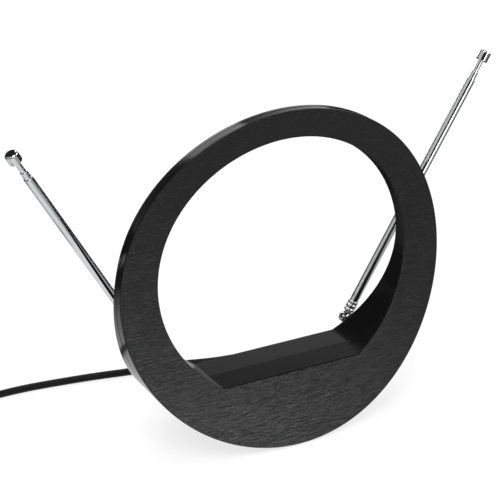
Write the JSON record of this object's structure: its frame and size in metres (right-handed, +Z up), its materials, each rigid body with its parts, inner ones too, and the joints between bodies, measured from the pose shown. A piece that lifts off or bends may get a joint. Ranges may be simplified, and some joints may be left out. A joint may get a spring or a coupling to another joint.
{
  "type": "indoor antenna",
  "caption": "Free-standing indoor television antenna: a round ring on its own foot, telescopic rods on rear swivels and a coaxial lead, for receiving broadcasts.",
  "frame": {"origin": "on the table, in the middle plane and below the ring's centre, on the foot pad's underside", "axes": "+Z up, +Y from the brushed face to the back, +X to the right seen from the front"},
  "size_m": [0.4486, 0.1406, 0.2198],
  "materials": {
    "front_plastic": "brushed hairlines on the face, gloss walls",
    "rear_plastic": "gloss moulded plastic",
    "chrome": "polished",
    "steel": "zinc plated",
    "bronze": "bare metal",
    "loop_metal": "bare metal",
    "board": "solder mask",
    "ferrite": "sintered",
    "wire_red": "insulated wire",
    "pad_rubber": "matt",
    "jacket": "satin jacket",
    "tie": "satin",
    "grip": "fine texture"
  },
  "bodies": {
    "base": {"front_shell": "front_plastic", "rear_shell": "rear_plastic", "foot_pad": "pad_rubber", "ballast_plate": "steel", "case_screws": "steel", "loop_strip": "loop_metal", "circuit_board": "board", "board_screws": "steel", "balun_core": "ferrite", "balun_winding": "bronze", "left_contact_tag": "steel", "right_contact_tag": "steel", "left_lead_wire": "wire_red", "right_lead_wire": "wire_red", "strain_relief": "pad_rubber", "cable_inner_end": "jacket", "cable_lead": "jacket", "cable_coil": "jacket", "cable_tail": "jacket", "cable_tie": "tie", "plug_grip": "grip", "plug_collar": "chrome", "plug_pin": "bronze"},
    "left_swivel": {"left_swivel_fork": "chrome", "left_swivel_washer": "steel", "left_swivel_screw": "steel", "left_hinge_pin": "chrome"},
    "left_rod": {"left_rod_ferrule": "chrome", "left_outer_tube": "chrome"},
    "left_middle": {"left_middle_tube": "chrome", "left_middle_sleeve": "bronze"},
    "left_inner": {"left_inner_rod": "chrome", "left_inner_sleeve": "bronze", "left_tip_cap": "chrome"},
    "right_swivel": {"right_swivel_fork": "chrome", "right_swivel_washer": "steel", "right_swivel_screw": "steel", "right_hinge_pin": "chrome"},
    "right_rod": {"right_rod_ferrule": "chrome", "right_outer_tube": "chrome"},
    "right_middle": {"right_middle_tube": "chrome", "right_middle_sleeve": "bronze"},
    "right_inner": {"right_inner_rod": "chrome", "right_inner_sleeve": "bronze", "right_tip_cap": "chrome"}
  },
  "joints": [
    {"name": "left_swivel_turn", "type": "hinge", "parent": "base", "child": "left_swivel", "pos_m": [-0.06759, 0.04201, 0.04164], "axis": [0, -0.9945, 0.1045], "range_deg": [-34.6, 60.4]},
    {"name": "left_rod_fold", "type": "hinge", "parent": "left_swivel", "child": "left_rod", "pos_m": [-0.06759, 0.04201, 0.04164], "axis": [0.8695, 0.0516, 0.4912], "range_deg": [-91.4, 3.6]},
    {"name": "left_middle_slide", "type": "slide", "parent": "left_rod", "child": "left_middle", "axis": [-0.4842, -0.1075, 0.8683], "range_m": [0, 0.145]},
    {"name": "left_inner_slide", "type": "slide", "parent": "left_middle", "child": "left_inner", "axis": [-0.4842, -0.1075, 0.8683], "range_m": [0, 0.148]},
    {"name": "right_swivel_turn", "type": "hinge", "parent": "base", "child": "right_swivel", "pos_m": [0.06759, 0.04201, 0.04164], "axis": [0, 0.9945, -0.1045], "range_deg": [-38.9, 56.1]},
    {"name": "right_rod_fold", "type": "hinge", "parent": "right_swivel", "child": "right_rod", "pos_m": [0.06759, 0.04201, 0.04164], "axis": [0.83, -0.0583, -0.5547], "range_deg": [-79.8, 15.2]},
    {"name": "right_middle_slide", "type": "slide", "parent": "right_rod", "child": "right_middle", "axis": [0.5577, 0.0902, 0.8251], "range_m": [0, 0.145]},
    {"name": "right_inner_slide", "type": "slide", "parent": "right_middle", "child": "right_inner", "axis": [0.5577, 0.0902, 0.8251], "range_m": [0, 0.148]}
  ]
}
